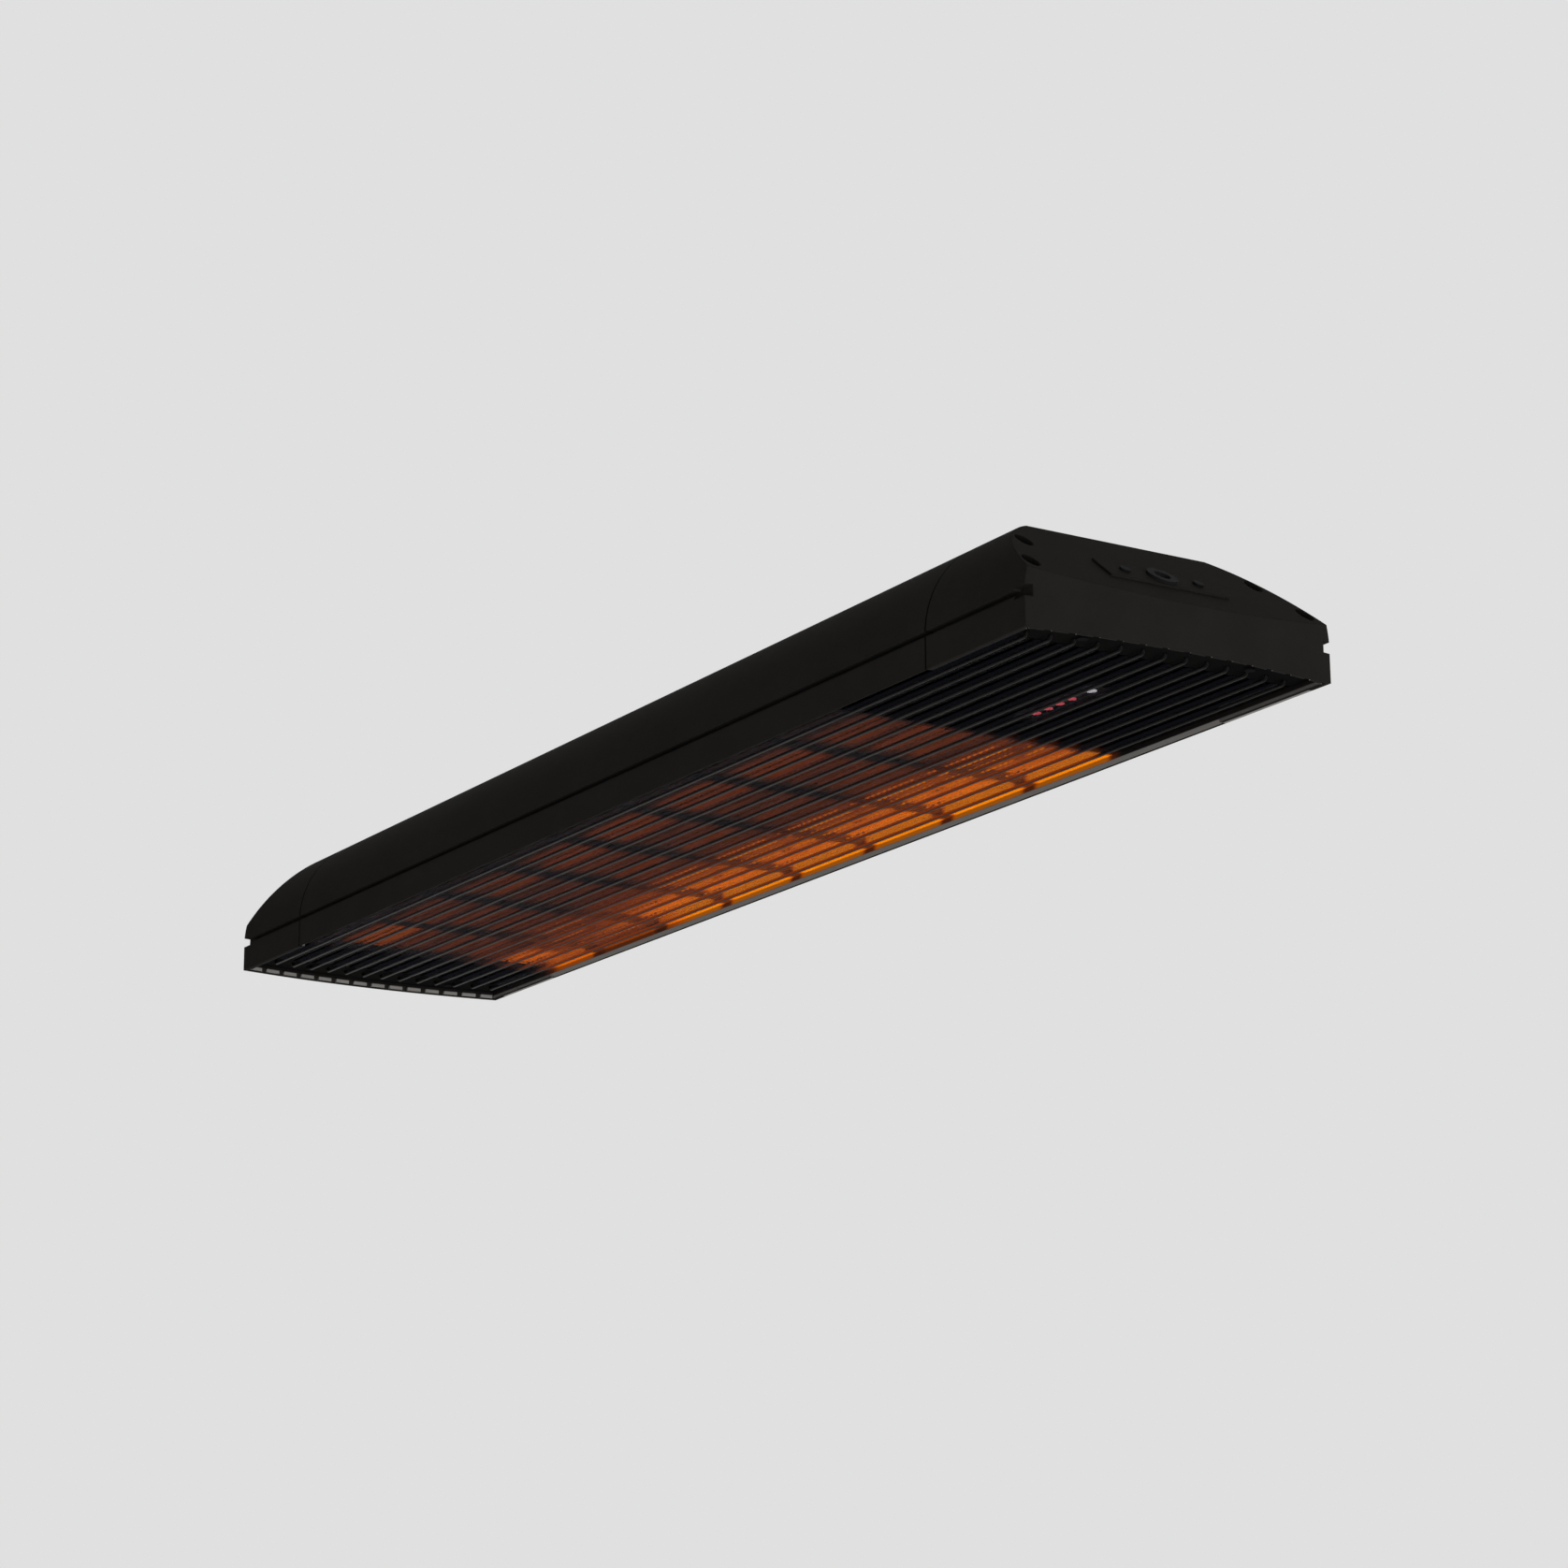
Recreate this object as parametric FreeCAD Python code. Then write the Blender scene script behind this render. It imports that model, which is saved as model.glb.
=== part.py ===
"""Ceiling-mounted radiant heater: a long black body with a dark front glass and a rod guard, hung from a
tilting ceiling bracket. Millimetres, +X along the body, +Z up, with the origin at the centre of the top of
the ceiling plate."""
import FreeCAD, Part
import math
import os

V = FreeCAD.Vector

# Body
body_length = 895.0
body_width = 190.0
body_height = 72.5
shoulder_run = 38.5
shoulder_height = 21.0
shoulder_bulge = 9.5
end_bow = 8.0
end_slope_run = 50.5
end_face_height = 31.0
cap_length = 85.5
housing_wall = 2.2
overrun = 5.0
seat_gap = 0.3
fit_gap = 0.05
screw_gap = 0.1

# Shadow gap round the body
groove_low = 17.2
groove_height = 3.0
groove_depth = 4.5
notch_height = 6.0
notch_length = 9.0

# Rails and the lip of the housing
rail_web = 2.0
neck_width = 4.0
flange_width = 6.3
rail_screw_count = 4
rail_screw_end = 77.0
rail_screw_radius = 1.45
rail_screw_head_radius = 2.75
rail_screw_head = 2.0
rail_screw_reach = 6.5

# End cap fixings
port_radius = 4.5
port_bore = 2.0
boss_radius = 5.5
tunnel_radius = 4.3
boss_floor = 12.0
cap_screw_radius = 1.95
cap_screw_head_radius = 3.6
cap_screw_head = 4.0
cap_screw_length = 24.0
port_depth = 5.7
port_arc_shares = (0.27, 0.66)

# Front glass, trim and gasket
glass_recess = 4.5
glass_thickness = 4.0
glass_end_inset = 27.0
glass_side_gap = 0.6
trim_thickness = 1.8
trim_lift = 0.3
trim_foot_edge = 0.4
rim_edge = 0.6
rim_bevel = 1.9
gasket_width = 6.0
end_trim_slot = 4.0
end_trim_bridge = 1.2

# Rod guard
rod_count = 13
rod_side_gap = 10.4
rod_radius = 1.0
rod_lift = 2.4
rod_bend = 2.5
rod_end_inset = 21.5
comb_thickness = 3.0
comb_gap = 0.5
comb_post_radius = 4.0
comb_post_spacing = 104.0
comb_screw_radius = 1.5
comb_screw_head_radius = 2.8
comb_screw_head = 1.4
comb_screw_length = 12.0

# Heated zone
zone_end_margin = 84.5
bay_length = 189.5
ribbon_count = 10
ribbon_width = 6.0
ribbon_edge_gap = 1.5
ribbon_thickness = 0.5
ribbon_lift = 2.0
bank_gap = 3.0
holder_count = 7
holder_end_span = 67.0
holder_wide = 9.0
holder_slim = 5.0
holder_bar = 1.2
holder_leg = 1.2
bus_width = 6.0
bus_height = 4.0
insulator_radius = 5.0
insulator_spacing = 80.0
reflector_sheet = 0.8
reflector_clear = 1.0
reflector_depth = 21.5
reflector_lap = 17.0
insulation_thickness = 12.0
insulation_inset = 7.5

# Electronics bay
bulkhead_gap = 6.0
bulkhead_sheet = 1.5
bulkhead_side_gap = 2.0
bulkhead_top_gap = 6.0
tray_gap = 6.0
tray_length = 80.0
tray_sheet = 1.5
board_length = 70.0
side_strip = 23.6
board_thickness = 1.6
standoff_height = 6.0
standoff_radius = 3.0
standoff_inset = 5.0
relay_height = 16.0
sink_base = 3.0
sink_height = 22.0
sink_fin = 1.6
sink_fin_count = 6
capacitor_height = 20.0
transformer_height = 22.0
relay_shares = ((0.62, 0.89, -0.40, -0.27), (0.62, 0.89, -0.2, -0.07))
sink_shares = (0.07, 0.93, 0.25, 0.47)
transformer_shares = (0.52, 0.93, -0.01, 0.21)
capacitor_shares = (0.10, 0.34, 0.03, 0.17)
terminal_length = 46.0
terminal_width = 16.0
terminal_height = 14.0
terminal_way_count = 5
terminal_way_bore = 2.2
terminal_way_depth = 9.0
clamp_length = 14.0
clamp_width = 20.0
clamp_height = 7.0
cutout_radius = 8.0
cutout_height = 9.0
earth_radius = 2.5
earth_height = 12.0
earth_nut_radius = 4.6
earth_nut_height = 3.2
lead_radius = 1.6
lead_bend = 8.0
lead_side_share = 0.22
lead_hole_gap = 0.4

# Power lights and receiver
light_pitch = 10.4
light_count = 4
light_radius = 2.6
receiver_radius = 3.0
receiver_step = 17.0
light_start_share = 0.7256
light_side = 10.5
light_glass_gap = 0.3
light_pipe = 4.5
light_board_thickness = 1.6
light_board_width = 16.0
light_board_margin = 9.0
light_post_radius = 2.5
light_post_inset = 3.5

# Cable inlet on the slope of one end cap
inlet_drop_share = 0.7
inlet_cover_length = 74.0
inlet_cover_width = 20.0
inlet_cover_sheet = 1.2
inlet_screw_spacing = 46.0
inlet_screw_radius = 1.5
inlet_screw_head_radius = 3.0
inlet_screw_head = 1.2
inlet_screw_length = 7.0
gland_radius = 6.0
gland_bore = 4.5
gland_flange_radius = 8.5
gland_flange = 1.5
gland_length = 11.0
gland_nut_radius = 9.0
gland_nut_height = 4.0

# Ceiling bracket
mount_gap = 20.0
plate_length = 372.0
plate_width = 33.0
plate_sheet = 3.0
bolt_end_edge = 21.0
bolt_side_edge = 7.5
bolt_hole_radius = 2.75
pivot_drop = 10.0
pivot_inset = 66.0
pivot_radius = 3.0
pivot_side_gap = 0.2
ear_tip = 6.0
lug_radius = 6.2
lug_sheet = 3.0
foot_length = 34.0
foot_width = 30.0
foot_sheet = 2.5
pivot_head_radius = 5.0
pivot_head = 4.0
pivot_nut_height = 5.0
nut_sides = 6
washer_radius = 5.6
washer_sheet = 1.0
foot_screw_spacing = 18.0
foot_screw_radius = 2.0
foot_screw_head_radius = 3.6
foot_screw_head = 2.2
foot_screw_length = 7.0

half_length = body_length / 2
half_width = body_width / 2
half_top = half_width - shoulder_run
seam = half_length - cap_length
inner_half = half_width - housing_wall
rim = -(mount_gap + body_height)
top = -mount_gap
groove_top = groove_low + groove_height
neck_outer = half_width - groove_depth
neck_inner = neck_outer - neck_width
lip_inner = inner_half - flange_width
lip_top = groove_top + housing_wall
glass_back = glass_recess + glass_thickness
web_low = groove_low - rail_web
slope_angle = math.atan2(body_height - end_face_height, end_slope_run)
zone_low = -half_length + zone_end_margin
zone_high = half_length - bay_length
zone_length = zone_high - zone_low
zone_middle = (zone_low + zone_high) / 2
ribbon_low = glass_back + ribbon_lift
ribbon_top = ribbon_low + ribbon_thickness
reflector_low = glass_back + trim_lift
reflector_back = reflector_low + reflector_depth
reflector_half = lip_inner - reflector_clear
reflector_start = zone_low - reflector_lap
reflector_end = zone_high + reflector_lap
holder_side = reflector_half - reflector_sheet - seat_gap
bank_far = holder_side - holder_leg - ribbon_edge_gap
ribbon_pitch = (bank_far - bank_gap / 2 - ribbon_width) / (ribbon_count - 1)
port_inner = half_width - port_depth - port_radius - housing_wall
board_width = 2 * (port_inner - side_strip)
bolt_spacing_x = plate_length - 2 * bolt_end_edge
bolt_spacing_y = plate_width - 2 * bolt_side_edge
pivot_spacing = plate_length - 2 * pivot_inset
light_start = half_length - bay_length * light_start_share


def level(height):
    """Z of a height measured up from the lower rim of the body."""
    return rim + height


def block(low, high):
    """Box between two corners given as (x, y, height above the rim)."""
    size = [b - a for a, b in zip(low, high)]
    return Part.makeBox(size[0], size[1], size[2], V(low[0], low[1], level(low[2])))


def rod_up(x, y, low, high, radius):
    """Upright cylinder between two heights above the rim."""
    return Part.makeCylinder(radius, high - low, V(x, y, level(low)))


def rod_along(start, end, y, height, radius):
    """Cylinder along X between two places, at a height above the rim."""
    return Part.makeCylinder(radius, end - start, V(start, y, level(height)), V(1, 0, 0))


def mirrored_x(shape):
    return shape.mirror(V(0, 0, 0), V(1, 0, 0))


def mirrored_y(shape):
    return shape.mirror(V(0, 0, 0), V(0, 1, 0))


def joined(shapes):
    """One solid from pieces that share faces or overlap."""
    whole = shapes[0]
    for shape in shapes[1:]:
        whole = whole.fuse(shape)
    return whole.removeSplitter()


def save(name, shapes):
    """Writes one node: a solid, or a group of separate solids."""
    group = shapes if isinstance(shapes, list) else [shapes]
    solids = [solid for shape in group for solid in shape.Solids]
    shape = solids[0] if len(solids) == 1 else Part.makeCompound(solids)
    shape.exportStep("parts/" + name + ".step")


def section_prism(inset, low, start, end):
    """Body section with arched shoulders, set in by a wall, carried along X."""
    side = half_width - inset
    flat = half_top - inset / 2
    high = body_height - inset
    run = side - flat
    rise = high - shoulder_height
    chord = math.hypot(run, rise)
    mid_y = side - run / 2 + shoulder_bulge * rise / chord
    mid_h = shoulder_height + rise / 2 + shoulder_bulge * run / chord

    def point(y, height):
        return V(start, y, level(height))

    edges = [
        Part.makeLine(point(-side, low), point(side, low)),
        Part.makeLine(point(side, low), point(side, shoulder_height)),
        Part.Arc(point(side, shoulder_height), point(mid_y, mid_h), point(flat, high)).toShape(),
        Part.makeLine(point(flat, high), point(-flat, high)),
        Part.Arc(point(-flat, high), point(-mid_y, mid_h), point(-side, shoulder_height)).toShape(),
        Part.makeLine(point(-side, shoulder_height), point(-side, low)),
    ]
    return Part.Face(Part.Wire(edges)).extrude(V(end - start, 0, 0))


def bowed_plate(start, inset, side, low, high):
    """Plate with one bowed end, set in from the end of the body, between two heights."""
    reach = half_length - inset
    z = level(low)
    bow_share = (side / half_width) ** 2
    corner = reach + end_bow * (1 - bow_share)
    edges = [
        Part.makeLine(V(start, side, z), V(start, -side, z)),
        Part.makeLine(V(start, -side, z), V(corner, -side, z)),
        Part.Arc(V(corner, -side, z), V(reach + end_bow, 0, z), V(corner, side, z)).toShape(),
        Part.makeLine(V(corner, side, z), V(start, side, z)),
    ]
    return Part.Face(Part.Wire(edges)).extrude(V(0, 0, high - low))


def outline_x(y, inset):
    """X of the bowed end at a place across the body."""
    return half_length - inset + end_bow * (1 - (y / half_width) ** 2)


def on_slope(shape, drop_share):
    """Places a shape drawn flat at the origin onto the end slope, a share of the way down it."""
    shape = shape.copy()
    place = V(
        half_length - end_slope_run * (1 - drop_share), 0,
        level(body_height - (body_height - end_face_height) * drop_share),
    )
    turn = FreeCAD.Rotation(V(0, 1, 0), math.degrees(slope_angle))
    shape.Placement = FreeCAD.Placement(place, turn).multiply(shape.Placement)
    return shape


def cap_solid(inset, low):
    """Filled end cap: the body section with a bowed end and a sloped top, set in by a wall."""
    body = section_prism(inset, low, seam, half_length + end_bow + overrun)
    body = body.common(bowed_plate(seam, inset, half_width, -overrun, body_height))
    corner = V(-body_height, -half_width - overrun / 2, -inset)
    above = Part.makeBox(body_length, body_width + overrun, body_height, corner)
    return body.cut(on_slope(above, 0))


def shoulder_point(arc_share, depth):
    """Point (y, height) under the +Y shoulder, a share of the way up its arc and a depth below it."""
    run = half_width - half_top
    rise = body_height - shoulder_height
    chord = math.hypot(run, rise)
    radius = (chord ** 2 / 4 + shoulder_bulge ** 2) / (2 * shoulder_bulge)
    inward = radius - shoulder_bulge
    centre_y = half_width - run / 2 - inward * rise / chord
    centre_h = shoulder_height + rise / 2 - inward * run / chord
    start = math.atan2(shoulder_height - centre_h, half_width - centre_y)
    end = math.atan2(body_height - centre_h, half_top - centre_y)
    angle = start + (end - start) * arc_share
    return centre_y + (radius - depth) * math.cos(angle), centre_h + (radius - depth) * math.sin(angle)


def port_places():
    """Places (y, height) of the four fixings between an end cap and the housing."""
    places = [shoulder_point(arc_share, port_depth) for arc_share in port_arc_shares]
    return [(side * y, height) for y, height in places for side in (-1, 1)]


def spread(span, count):
    """Even places about zero over a span."""
    return [span * (i / (count - 1) - 1 / 2) for i in range(count)]


def rod_places():
    return spread(2 * (inner_half - trim_thickness - rod_side_gap), rod_count)


def make_housing():
    """Long extruded shell with inward lips below and round screw ports along its inside."""
    outer = section_prism(0, groove_top, -seam, seam)
    hollow = section_prism(housing_wall, 0, -seam - overrun, seam + overrun)
    above_lip = block((-body_length, -half_width, lip_top), (body_length, half_width, body_height))
    hollow = hollow.common(above_lip)
    mouth_end = seam + overrun
    mouth = block((-mouth_end, -lip_inner, groove_top - overrun), (mouth_end, lip_inner, lip_top + overrun))
    shell = outer.cut(hollow).cut(mouth)
    ports = [rod_along(-seam, seam, y, h, port_radius) for y, h in port_places()]
    shell = joined([shell] + [port.common(outer) for port in ports])
    for y, h in port_places():
        shell = shell.cut(rod_along(-seam - overrun, seam + overrun, y, h, port_bore))
    for x, y in rail_screw_places():
        shell = shell.cut(rod_up(x, y, groove_top - overrun, lip_top + overrun, rail_screw_radius + fit_gap))
    for x, y in foot_screw_places():
        bottom = body_height - housing_wall - overrun
        hole = rod_up(x, y, bottom, body_height + overrun, foot_screw_radius + fit_gap)
        shell = shell.cut(hole)
    return shell


def rail_screw_places():
    """Places (x, y) of the screws that hold the rails under the housing's lips."""
    y = (neck_inner + neck_outer) / 2
    middle = (reflector_start + reflector_end) / 2
    steps = spread(reflector_end - reflector_start - 2 * rail_screw_end, rail_screw_count)
    return [(middle + step, side * y) for side in (-1, 1) for step in steps]


def long_prism(outline, end):
    """Prism along X from -end to end over an outline of (y, height) corners."""
    points = [V(-end, y, level(h)) for y, h in outline]
    return Part.Face(Part.makePolygon(points + points[:1])).extrude(V(2 * end, 0, 0))


def make_rail():
    """Side rail of the +Y side: outer wall bevelled inside its rim, web over the gasket
    and the neck behind the shadow gap."""
    outline = [
        (half_width, 0), (half_width, groove_low), (neck_outer, groove_low), (neck_outer, groove_top),
        (neck_inner, groove_top), (neck_inner, web_low), (inner_half, web_low), (inner_half, rim_bevel),
        (half_width - rim_edge, 0),
    ]
    rail = long_prism(outline, seam)
    for x, y in rail_screw_places():
        if y > 0:
            low = lip_top - rail_screw_reach - overrun
            rail = rail.cut(rod_up(x, y, low, groove_top + overrun, rail_screw_radius + fit_gap))
    return rail


def make_rail_screws():
    seat = lip_top + reflector_sheet
    screws = []
    for x, y in rail_screw_places():
        shank = rod_up(x, y, lip_top - rail_screw_reach, seat, rail_screw_radius)
        head = rod_up(x, y, seat, seat + rail_screw_head, rail_screw_head_radius)
        screws.append(joined([shank, head]))
    return screws


def make_cap(with_inlet):
    """End cap of the +X end: hollow shell with the shadow gap, screw tunnels and posts for the guard comb."""
    outer = cap_solid(0, 0)
    shell = outer.cut(cap_solid(housing_wall, -overrun))
    pieces = [shell]
    for side in (-1, 1):
        inner, wall = sorted((side * neck_inner, side * half_width))
        neck = block((seam, inner, web_low), (half_length + end_bow, wall, lip_top))
        pieces.append(neck.common(outer))
    for y, h in port_places():
        pieces.append(rod_along(seam, half_length + end_bow, y, h, boss_radius).common(outer))
    for x, y in comb_post_places():
        post = rod_up(x, y, glass_recess + comb_thickness, body_height, comb_post_radius)
        pieces.append(post.common(outer))
    cap = joined(pieces)
    for side in (-1, 1):
        near, far = sorted((side * neck_outer, side * (half_width + overrun)))
        groove = block((seam - overrun, near, groove_low), (half_length + overrun, far, groove_top))
        middle = (groove_low + groove_top) / 2
        notch_start = half_length - notch_length
        notch_end = half_length + end_bow + overrun
        low, high = middle - notch_height / 2, middle + notch_height / 2
        notch = block((notch_start, near, low), (notch_end, far, high))
        cap = cap.cut(groove).cut(notch)
    for y, h in port_places():
        cap = cap.cut(rod_along(seam + boss_floor, half_length + end_bow, y, h, tunnel_radius))
        hole_end = seam + boss_floor + overrun
        cap = cap.cut(rod_along(seam - overrun, hole_end, y, h, cap_screw_radius + screw_gap))
    for x, y in comb_post_places():
        low = glass_recess + comb_thickness
        cap = cap.cut(rod_up(x, y, low - overrun, low + comb_screw_length, comb_screw_radius + fit_gap))
    if with_inlet:
        hole = Part.makeCylinder(gland_radius + seat_gap, gland_length + overrun, V(0, 0, -gland_length))
        cap = cap.cut(on_slope(hole, inlet_drop_share))
        for side in (-1, 1):
            place = V(0, side * inlet_screw_spacing / 2, -inlet_screw_length - overrun)
            pilot = Part.makeCylinder(inlet_screw_radius + fit_gap, inlet_screw_length + 2 * overrun, place)
            cap = cap.cut(on_slope(pilot, inlet_drop_share))
    return cap


def make_cap_screws():
    """Screws at the bottom of the tunnels, into the ports of the housing, at both ends."""
    screws = []
    for y, h in port_places():
        seat = seam + boss_floor
        shank = rod_along(seat - cap_screw_length, seat, y, h, cap_screw_radius)
        head = rod_along(seat, seat + cap_screw_head, y, h, cap_screw_head_radius)
        screw = joined([shank, head])
        screws += [screw, mirrored_x(screw)]
    return screws


def make_side_trim():
    """Bare strip inside the rim of the +Y side: a wall that carries the edge of the glass
    and, along the rail, a slanting foot that lies on the rail's bevel."""
    end = half_length - housing_wall - trim_thickness - seat_gap
    foot_end = seam - seat_gap
    inner = inner_half - trim_thickness
    wall = block((-end, inner, trim_lift), (end, inner_half, glass_recess))
    below = block((-foot_end, inner - overrun, trim_lift - overrun), (foot_end, half_width, rim_bevel))
    wall = wall.cut(below)
    foot_outer = inner_half + (housing_wall - rim_edge) * (1 - trim_lift / rim_bevel)
    outline = [
        (inner, rim_bevel), (inner_half, rim_bevel),
        (foot_outer, trim_lift), (foot_outer - trim_foot_edge, trim_lift),
    ]
    return joined([wall, long_prism(outline, foot_end)])


def make_end_trim():
    """Bare bowed strip inside the rim of the +X end, slotted in line with the rods."""
    side = inner_half - trim_thickness - seat_gap
    start = half_length - cap_length / 2
    outer_edge = housing_wall + seat_gap
    strip = bowed_plate(start, outer_edge, side, trim_lift, glass_recess)
    inner_edge = outer_edge + trim_thickness
    strip = strip.cut(bowed_plate(start - overrun, inner_edge, half_width, -overrun, glass_recess + overrun))
    for y in rod_places():
        slot = block(
            (start, y - end_trim_slot / 2, -overrun),
            (half_length + end_bow, y + end_trim_slot / 2, glass_recess - end_trim_bridge),
        )
        strip = strip.cut(slot)
    return strip


def comb_post_places():
    x = half_length - (rod_end_inset + housing_wall) / 2
    return [(x, side * comb_post_spacing / 2) for side in (-1, 1)]


def make_comb():
    """Guard comb of the +X end: plate level with the glass, with a hole for each rod end."""
    start = half_length - glass_end_inset + comb_gap
    plate = bowed_plate(
        start, housing_wall + seat_gap, inner_half - seat_gap,
        glass_recess, glass_recess + comb_thickness,
    )
    for y in rod_places():
        x = outline_x(y, rod_end_inset)
        plate = plate.cut(rod_up(x, y, 0, glass_recess + comb_thickness + overrun, rod_radius + screw_gap))
    for x, y in comb_post_places():
        hole_top = glass_recess + comb_thickness + overrun
        plate = plate.cut(rod_up(x, y, 0, hole_top, comb_screw_radius + screw_gap))
    return plate


def make_comb_screws():
    screws = []
    for x, y in comb_post_places():
        tip = glass_recess - comb_screw_head + comb_screw_length
        shank = rod_up(x, y, glass_recess, tip, comb_screw_radius)
        head = rod_up(x, y, glass_recess - comb_screw_head, glass_recess, comb_screw_head_radius)
        screw = joined([shank, head])
        screws += [screw, mirrored_x(screw)]
    return screws


def bent_wire(points, bend, radius):
    """Round wire along straight runs joined by tangent arcs of one radius."""
    edges = []
    start = points[0]
    for before, corner, after in zip(points, points[1:], points[2:]):
        back = (before - corner).normalize()
        ahead = (after - corner).normalize()
        half_turn = (math.pi - back.getAngle(ahead)) / 2
        cut = bend * math.tan(half_turn)
        inward = (back + ahead).normalize()
        first = corner + back * cut
        last = corner + ahead * cut
        middle = corner + inward * (bend / math.cos(half_turn) - bend)
        edges.append(Part.makeLine(start, first))
        edges.append(Part.Arc(first, middle, last).toShape())
        start = last
    edges.append(Part.makeLine(start, points[-1]))
    path = Part.Wire(edges)
    ring = Part.Wire(Part.makeCircle(radius, points[0], points[1] - points[0]))
    return path.makePipeShell([ring], True, False)


def make_rods():
    rods = []
    for y in rod_places():
        x = outline_x(y, rod_end_inset)
        high = level(glass_recess + comb_thickness)
        low = level(rod_lift)
        corners = [V(-x, y, high), V(-x, y, low), V(x, y, low), V(x, y, high)]
        rods.append(bent_wire(corners, rod_bend, rod_radius))
    return rods


def make_glass():
    x = half_length - glass_end_inset
    y = inner_half - glass_side_gap
    return block((-x, -y, glass_recess), (x, y, glass_back))


def make_gasket():
    """Square fibre ring between the edge of the glass and the webs of the rails."""
    x = half_length - glass_end_inset
    y = inner_half - glass_side_gap
    ring = block((-x, -y, glass_back), (x, y, web_low))
    inner_x = x - gasket_width
    inner_y = y - gasket_width
    return ring.cut(block((-inner_x, -inner_y, glass_back - overrun), (inner_x, inner_y, web_low + overrun)))


def make_reflector():
    """Polished pan behind the ribbons, hung by its flanges on the lips of the housing."""
    outer = block(
        (reflector_start, -reflector_half, reflector_low),
        (reflector_end, reflector_half, reflector_back + reflector_sheet),
    )
    inner = block(
        (reflector_start + reflector_sheet, -reflector_half + reflector_sheet, reflector_low - overrun),
        (reflector_end - reflector_sheet, reflector_half - reflector_sheet, reflector_back),
    )
    flange_edge = inner_half - reflector_clear
    flange_top = lip_top + reflector_sheet
    flange = block((reflector_start, -flange_edge, lip_top), (reflector_end, flange_edge, flange_top))
    pan = joined([outer, flange]).cut(inner)
    for x, y in rail_screw_places():
        pan = pan.cut(rod_up(x, y, groove_top, lip_top + overrun, rail_screw_radius + screw_gap))
    return with_lead_holes(pan, reflector_back, reflector_back + reflector_sheet)


def make_insulation():
    low = reflector_back + reflector_sheet
    side = reflector_half - insulation_inset
    board = block(
        (reflector_start + insulation_inset, -side, low),
        (reflector_end - insulation_inset, side, low + insulation_thickness),
    )
    x, y = cutout_place()
    high = low + insulation_thickness
    board = board.cut(rod_up(x, y, low - overrun, high + overrun, cutout_radius + seat_gap))
    return with_lead_holes(board, low, high)


def cutout_place():
    return zone_high - holder_end_span / 2, 0


def make_bank(side):
    """Flat resistance ribbons of one half of the element, side by side along the heated zone."""
    ribbons = []
    for i in range(ribbon_count):
        near = bank_gap / 2 + ribbon_pitch * i
        low, high = sorted((side * near, side * (near + ribbon_width)))
        ribbons.append(block((zone_low, low, ribbon_low), (zone_high, high, ribbon_top)))
    return ribbons


def holder_places():
    return [zone_middle + x for x in spread(zone_length - 2 * holder_end_span, holder_count)]


def make_holders():
    """Cross bars under the ribbons, wider on one half, with legs up to the back of the reflector."""
    side = holder_side
    low = ribbon_low - holder_bar
    holders = []
    for x in holder_places():
        wide = block((x - holder_wide / 2, -side, low), (x + holder_wide / 2, 0, ribbon_low))
        slim = block((x - holder_slim / 2, 0, low), (x + holder_slim / 2, side, ribbon_low))
        pieces = [wide, slim]
        for y in (-side, -holder_leg / 2, side - holder_leg):
            leg = block((x - holder_slim / 2, y, low), (x + holder_slim / 2, y + holder_leg, reflector_back))
            pieces.append(leg)
        holders.append(joined(pieces))
    return holders


def bank_span():
    return bank_gap / 2, bank_far


def make_bus_bars():
    """Bars on the ribbon ends: one for each bank at the wired end and a common one at the other."""
    near, far = bank_span()
    bars = []
    for low, high in ((-far, -near), (near, far)):
        bar_top = ribbon_top + bus_height
        bars.append(block((zone_high - bus_width, low, ribbon_top), (zone_high, high, bar_top)))
    bars.append(block((zone_low, -far, ribbon_top), (zone_low + bus_width, far, ribbon_top + bus_height)))
    return bars


def make_insulators():
    pillars = []
    for x in (zone_low + bus_width / 2, zone_high - bus_width / 2):
        for side in (-1, 1):
            y = side * (insulator_spacing + bank_gap) / 2
            pillars.append(rod_up(x, y, ribbon_top + bus_height, reflector_back, insulator_radius))
    return pillars


def lead_places():
    return [-lead_side_share * board_width, lead_side_share * board_width]


def lead_height():
    return reflector_back + reflector_sheet + insulation_thickness + lead_radius + lead_bend


def tray_start():
    return reflector_end + bulkhead_gap + bulkhead_sheet + tray_gap


def board_top():
    return lip_top + tray_sheet + standoff_height + board_thickness


def make_bulkhead():
    """Heat shield plate between the element and the electronics, standing on the lips of the housing."""
    x = reflector_end + bulkhead_gap
    flange_edge = inner_half - reflector_clear
    side = shoulder_point(port_arc_shares[-1], port_depth)[0] - port_radius - bulkhead_side_gap
    high = body_height - housing_wall - bulkhead_top_gap
    wall = block((x, -side, lip_top), (x + bulkhead_sheet, side, high))
    foot = block(
        (x - bulkhead_gap / 2, -flange_edge, lip_top),
        (x + bulkhead_sheet, flange_edge, lip_top + bulkhead_sheet),
    )
    plate = joined([wall, foot])
    for y in lead_places():
        plate = plate.cut(rod_along(x - overrun, x + overrun, y, lead_height(), lead_radius + lead_hole_gap))
    return plate


def make_leads():
    """Two insulated leads from the control board over the heat shield, down to the bus bars."""
    leads = []
    for y in lead_places():
        high = level(lead_height())
        board_x = board_corner() + standoff_inset + 2 * lead_bend
        bar_x = zone_high - bus_width / 2
        drop = V(board_x, y, level(board_top()))
        seat = V(bar_x, y, level(ribbon_top + bus_height))
        leads.append(bent_wire([drop, V(board_x, y, high), V(bar_x, y, high), seat], lead_bend, lead_radius))
    return leads


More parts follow.
